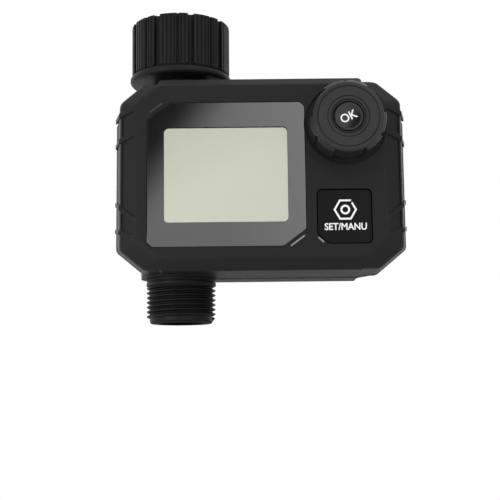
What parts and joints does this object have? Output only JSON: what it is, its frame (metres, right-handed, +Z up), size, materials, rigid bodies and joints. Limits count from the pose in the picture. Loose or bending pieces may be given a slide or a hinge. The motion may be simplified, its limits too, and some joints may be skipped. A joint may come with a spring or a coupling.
{
  "type": "drip irrigation timer",
  "caption": "Tap-mounted watering timer: battery-driven ball valve in a black case with display window, rotary knob with push cap, set key, swivel inlet nut and threaded outlet.",
  "frame": {"origin": "middle of the swivel inlet nut's mouth, on the pipe axis", "axes": "+Z up along the pipe axis and out of the inlet nut, -Y out of the front face with the display, +X to the right as seen from the front"},
  "size_m": [0.1138, 0.0631, 0.1175],
  "materials": {
    "case_plastic": "fine-textured black moulded plastic",
    "satin_plastic": "smooth satin black plastic",
    "gloss_black": "polished black plastic",
    "lcd": "pale grey-green reflective display",
    "white_plastic": "white moulded plastic",
    "rubber_black": "soft black rubber",
    "silver_trim": "satin silver",
    "steel": "bright steel",
    "board_green": "green solder resist",
    "chip_black": "moulded epoxy",
    "cell_wrap": "printed cell wrap",
    "lead_plastic": "insulated wire",
    "brass": "turned brass",
    "chrome": "chromed brass",
    "ptfe": "white low-friction plastic",
    "silicone": "translucent silicone",
    "filter_yellow": "yellow moulded plastic"
  },
  "bodies": {
    "case": {"front_shell": "case_plastic", "rear_shell": "case_plastic", "case_gasket": "rubber_black", "case_screws": "steel", "display_window": "gloss_black", "trim_bars": "silver_trim", "lcd_panel": "lcd", "lcd_frame": "white_plastic", "lcd_connector": "rubber_black", "circuit_board": "board_green", "board_screws": "steel", "board_chips": "chip_black", "key_boot": "rubber_black", "set_switch": "steel", "encoder_body": "steel", "knob_seal": "rubber_black", "ok_switch": "chip_black", "door_pin": "steel", "battery_seal": "rubber_black", "battery_left": "cell_wrap", "battery_right": "cell_wrap", "battery_springs": "steel", "battery_plates": "steel", "battery_leads": "lead_plastic", "motor": "steel", "motor_leads": "lead_plastic", "gearbox_plate": "white_plastic", "gearbox_cover": "white_plastic", "idler_axle": "steel", "upper_seat": "ptfe", "lower_seat": "ptfe", "valve_body": "case_plastic", "valve_outlet": "case_plastic", "outlet_seal": "rubber_black", "nut_clip": "steel", "sealing_washer": "silicone", "filter_ring": "filter_yellow", "filter_mesh": "steel"},
    "knob": {"knob": "case_plastic", "knob_face": "satin_plastic", "encoder_shaft": "steel"},
    "ok_cap": {"ok_cap": "gloss_black"},
    "set_key": {"set_key": "satin_plastic"},
    "battery_door": {"battery_door": "case_plastic"},
    "valve": {"valve_ball": "chrome", "valve_stem": "chrome", "stem_seal": "rubber_black", "output_gear": "white_plastic"},
    "idler": {"idler_gear": "white_plastic"},
    "pinion": {"motor_shaft": "steel", "motor_pinion": "brass"},
    "nut": {"inlet_nut": "case_plastic"}
  },
  "joints": [
    {"name": "nut_swivel", "type": "hinge", "parent": "case", "child": "nut", "pos_m": [0, 0, -0.01175], "axis": [0, 0, 1], "continuous": true},
    {"name": "knob_turn", "type": "hinge", "parent": "case", "child": "knob", "pos_m": [0.0624, -0.03, -0.0463], "axis": [0, -1, 0], "continuous": true},
    {"name": "ok_press", "type": "slide", "parent": "knob", "child": "ok_cap", "axis": [0, 1, 0], "range_m": [0, 0.0008], "stiffness_N_per_m": 150, "springref_m": -0.0004},
    {"name": "set_press", "type": "slide", "parent": "case", "child": "set_key", "axis": [0, 1, 0], "range_m": [0, 0.0008], "stiffness_N_per_m": 200, "springref_m": -0.0004},
    {"name": "battery_door_hinge", "type": "hinge", "parent": "case", "child": "battery_door", "pos_m": [0.0593, 0.0233, -0.09565], "axis": [-1, 0, 0], "range_deg": [0, 105]},
    {"name": "valve_turn", "type": "hinge", "parent": "case", "child": "valve", "pos_m": [0.02, 0, -0.059], "axis": [1, 0, 0], "range_deg": [0, 90]},
    {"name": "idler_turn", "type": "hinge", "parent": "case", "child": "idler", "pos_m": [0.023, 0, -0.07988], "axis": [1, 0, 0], "range_deg": [-144, 0]},
    {"name": "pinion_turn", "type": "hinge", "parent": "case", "child": "pinion", "pos_m": [0.023, 0.01115, -0.08632], "axis": [1, 0, 0], "range_deg": [0, 240]}
  ],
  "couplings": [
    {"joint": "idler_turn", "follows": "valve_turn", "ratio": -1.6},
    {"joint": "pinion_turn", "follows": "valve_turn", "ratio": 2.6667}
  ]
}
